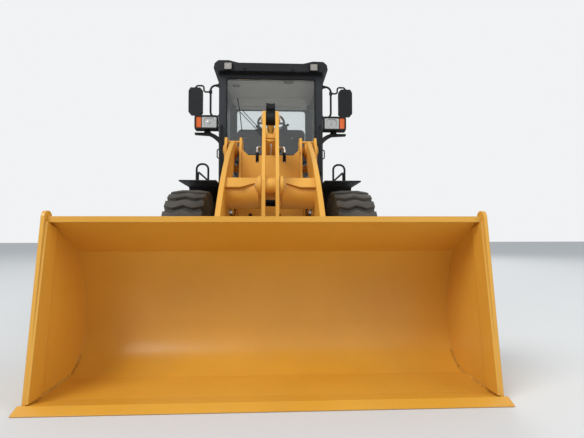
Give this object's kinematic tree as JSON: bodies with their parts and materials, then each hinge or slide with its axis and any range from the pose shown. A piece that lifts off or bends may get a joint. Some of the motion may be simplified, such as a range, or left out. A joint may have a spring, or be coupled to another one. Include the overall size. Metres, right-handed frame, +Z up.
{
  "type": "wheel loader",
  "caption": "Articulated wheel loader with a Z-bar front linkage, bucket, glazed cab, hinged doors, tilting engine hood and rear counterweight",
  "frame": {"origin": "on the ground under the middle of the length and width", "axes": "+Z up, the bucket points to -Y, +X is the driver's left"},
  "size_m": [2.46, 7.1, 3.198],
  "materials": {
    "orange_paint": "satin orange-yellow paint, worn",
    "bucket_paint": "satin orange-yellow paint, scuffed",
    "charcoal_paint": "dark charcoal paint",
    "black_paint": "black paint",
    "edge_steel": "bright worn steel",
    "rod_chrome": "polished rod",
    "tyre_rubber": "black rubber, dusty",
    "cast_black": "dark cast iron",
    "black_plastic": "black plastic",
    "lamp_red": "red lens",
    "lamp_clear": "clear lens",
    "lamp_amber": "amber lens",
    "window_glass": "tinted glass",
    "seat_cloth": "dark cloth"
  },
  "bodies": {
    "rear_body": {"rear_frame": "orange_paint", "rear_axle": "cast_black", "gearbox": "cast_black", "engine_block": "cast_black", "counterweight": "charcoal_paint", "decks": "black_paint", "side_boxes": "black_paint", "deck_rails": "black_paint", "cab_floor": "black_paint", "cab_shell": "charcoal_paint", "windscreen": "window_glass", "rear_window": "window_glass", "side_glass": "window_glass", "cab_roof": "black_plastic", "roof_lamps": "lamp_clear", "dashboard": "black_plastic", "steering_wheel": "black_plastic", "seat_base": "black_paint", "seat_cushion": "seat_cloth", "mirrors": "black_plastic", "hood_sills": "orange_paint", "tail_lamps": "lamp_red"},
    "front_body": {"front_frame": "orange_paint", "front_axle": "cast_black", "front_fenders": "black_paint", "lamp_brackets": "black_paint", "head_lamps": "black_plastic", "lamp_lenses": "lamp_clear", "turn_signals": "lamp_amber"},
    "hood_body": {"hood": "orange_paint", "radiator_housing": "charcoal_paint", "exhaust": "black_paint"},
    "boom_body": {"boom": "orange_paint"},
    "rocker_body": {"rocker": "orange_paint"},
    "link_body": {"link": "orange_paint"},
    "bucket_body": {"bucket": "bucket_paint", "cutting_edge": "edge_steel"},
    "door_left_body": {"door_left": "charcoal_paint", "door_glass_left": "window_glass"},
    "door_right_body": {"door_right": "charcoal_paint", "door_glass_right": "window_glass"},
    "wheel_front_left": {"tyre_front_left": "tyre_rubber", "rim_front_left": "orange_paint"},
    "wheel_front_right": {"tyre_front_right": "tyre_rubber", "rim_front_right": "orange_paint"},
    "wheel_rear_left": {"tyre_rear_left": "tyre_rubber", "rim_rear_left": "orange_paint"},
    "wheel_rear_right": {"tyre_rear_right": "tyre_rubber", "rim_rear_right": "orange_paint"},
    "tilt_barrel_body": {"tilt_barrel": "orange_paint"},
    "tilt_rod_body": {"tilt_rod": "rod_chrome"},
    "lift_left_barrel_body": {"lift_left_barrel": "orange_paint"},
    "lift_left_rod_body": {"lift_left_rod": "rod_chrome"},
    "lift_right_barrel_body": {"lift_right_barrel": "orange_paint"},
    "lift_right_rod_body": {"lift_right_rod": "rod_chrome"},
    "steer_left_barrel_body": {"steer_left_barrel": "black_paint"},
    "steer_left_rod_body": {"steer_left_rod": "rod_chrome"},
    "steer_right_barrel_body": {"steer_right_barrel": "black_paint"},
    "steer_right_rod_body": {"steer_right_rod": "rod_chrome"}
  },
  "joints": [
    {"name": "articulation", "type": "hinge", "parent": "rear_body", "child": "front_body", "pos_m": [0, 0.275, 0.85], "axis": [0, 0, 1], "range_deg": [-35, 35]},
    {"name": "roll_front_left", "type": "hinge", "parent": "front_body", "child": "wheel_front_left", "pos_m": [0.83, -1.15, 0.675], "axis": [1, 0, 0], "continuous": true},
    {"name": "roll_front_right", "type": "hinge", "parent": "front_body", "child": "wheel_front_right", "pos_m": [-0.83, -1.15, 0.675], "axis": [1, 0, 0], "continuous": true},
    {"name": "roll_rear_left", "type": "hinge", "parent": "rear_body", "child": "wheel_rear_left", "pos_m": [0.83, 1.7, 0.675], "axis": [1, 0, 0], "continuous": true},
    {"name": "roll_rear_right", "type": "hinge", "parent": "rear_body", "child": "wheel_rear_right", "pos_m": [-0.83, 1.7, 0.675], "axis": [1, 0, 0], "continuous": true},
    {"name": "boom_lift", "type": "hinge", "parent": "front_body", "child": "boom_body", "pos_m": [0, -0.85, 1.84], "axis": [-1, 0, 0], "range_deg": [0, 86]},
    {"name": "bucket_tilt", "type": "hinge", "parent": "boom_body", "child": "bucket_body", "pos_m": [0, -2.6, 0.3], "axis": [1, 0, 0], "range_deg": [-45, 128]},
    {"name": "rocker_swing", "type": "hinge", "parent": "boom_body", "child": "rocker_body", "pos_m": [0, -1.99, 1.3], "axis": [1, 0, 0], "range_deg": [-38.6, 13.6]},
    {"name": "link_swing", "type": "hinge", "parent": "bucket_body", "child": "link_body", "pos_m": [0, -2.72, 0.6], "axis": [1, 0, 0], "range_deg": [-79.5, 28]},
    {"name": "tilt_barrel_swing", "type": "hinge", "parent": "front_body", "child": "tilt_barrel_body", "pos_m": [0, -0.75, 1.86], "axis": [-1, 0, 0], "range_deg": [0, 82]},
    {"name": "tilt_rod_slide", "type": "slide", "parent": "tilt_barrel_body", "child": "tilt_rod_body", "axis": [0, -0.9942, 0.1076], "range_m": [-0.336, 0.119]},
    {"name": "lift_left_swing", "type": "hinge", "parent": "front_body", "child": "lift_left_barrel_body", "pos_m": [0.4275, -0.35, 0.95], "axis": [-1, 0, 0], "range_deg": [0, 40]},
    {"name": "lift_left_slide", "type": "slide", "parent": "lift_left_barrel_body", "child": "lift_left_rod_body", "axis": [0, -0.9869, 0.1615], "range_m": [0, 0.793]},
    {"name": "steer_left_swing", "type": "hinge", "parent": "rear_body", "child": "steer_left_barrel_body", "pos_m": [0.28, 0.72, 0.85], "axis": [0, 0, 1], "range_deg": [-20, 20]},
    {"name": "steer_left_slide", "type": "slide", "parent": "steer_left_barrel_body", "child": "steer_left_rod_body", "axis": [0.1893, -0.9819, 0], "range_m": [-0.218, 0.218]},
    {"name": "lift_right_swing", "type": "hinge", "parent": "front_body", "child": "lift_right_barrel_body", "pos_m": [-0.4275, -0.35, 0.95], "axis": [-1, 0, 0], "range_deg": [0, 40]},
    {"name": "lift_right_slide", "type": "slide", "parent": "lift_right_barrel_body", "child": "lift_right_rod_body", "axis": [0, -0.9869, 0.1615], "range_m": [0, 0.793]},
    {"name": "steer_right_swing", "type": "hinge", "parent": "rear_body", "child": "steer_right_barrel_body", "pos_m": [-0.28, 0.72, 0.85], "axis": [0, 0, 1], "range_deg": [-20, 20]},
    {"name": "steer_right_slide", "type": "slide", "parent": "steer_right_barrel_body", "child": "steer_right_rod_body", "axis": [-0.1893, -0.9819, 0], "range_m": [-0.218, 0.218]},
    {"name": "hood_lift", "type": "hinge", "parent": "rear_body", "child": "hood_body", "pos_m": [0, 3.285, 1.425], "axis": [-1, 0, 0], "range_deg": [0, 45]},
    {"name": "door_left_swing", "type": "hinge", "parent": "rear_body", "child": "door_left_body", "pos_m": [0.716, 0.858, 2.2], "axis": [0, 0, 1], "range_deg": [0, 85]},
    {"name": "door_right_swing", "type": "hinge", "parent": "rear_body", "child": "door_right_body", "pos_m": [-0.716, 0.858, 2.2], "axis": [0, 0, -1], "range_deg": [0, 85]}
  ],
  "couplings": [
    {"joint": "rocker_swing", "follows": "bucket_tilt", "ratio": -0.3},
    {"joint": "link_swing", "follows": "bucket_tilt", "ratio": -0.62},
    {"joint": "tilt_barrel_swing", "follows": "boom_lift", "ratio": 0.947},
    {"joint": "tilt_rod_slide", "follows": "bucket_tilt", "m_per_rad": -0.15},
    {"joint": "lift_left_swing", "follows": "boom_lift", "ratio": 0.4621},
    {"joint": "lift_left_slide", "follows": "boom_lift", "m_per_rad": 0.5273},
    {"joint": "steer_left_swing", "follows": "articulation", "ratio": 0.55},
    {"joint": "steer_left_slide", "follows": "articulation", "m_per_rad": -0.354},
    {"joint": "lift_right_swing", "follows": "boom_lift", "ratio": 0.4621},
    {"joint": "lift_right_slide", "follows": "boom_lift", "m_per_rad": 0.5273},
    {"joint": "steer_right_swing", "follows": "articulation", "ratio": 0.55},
    {"joint": "steer_right_slide", "follows": "articulation", "m_per_rad": 0.354}
  ]
}
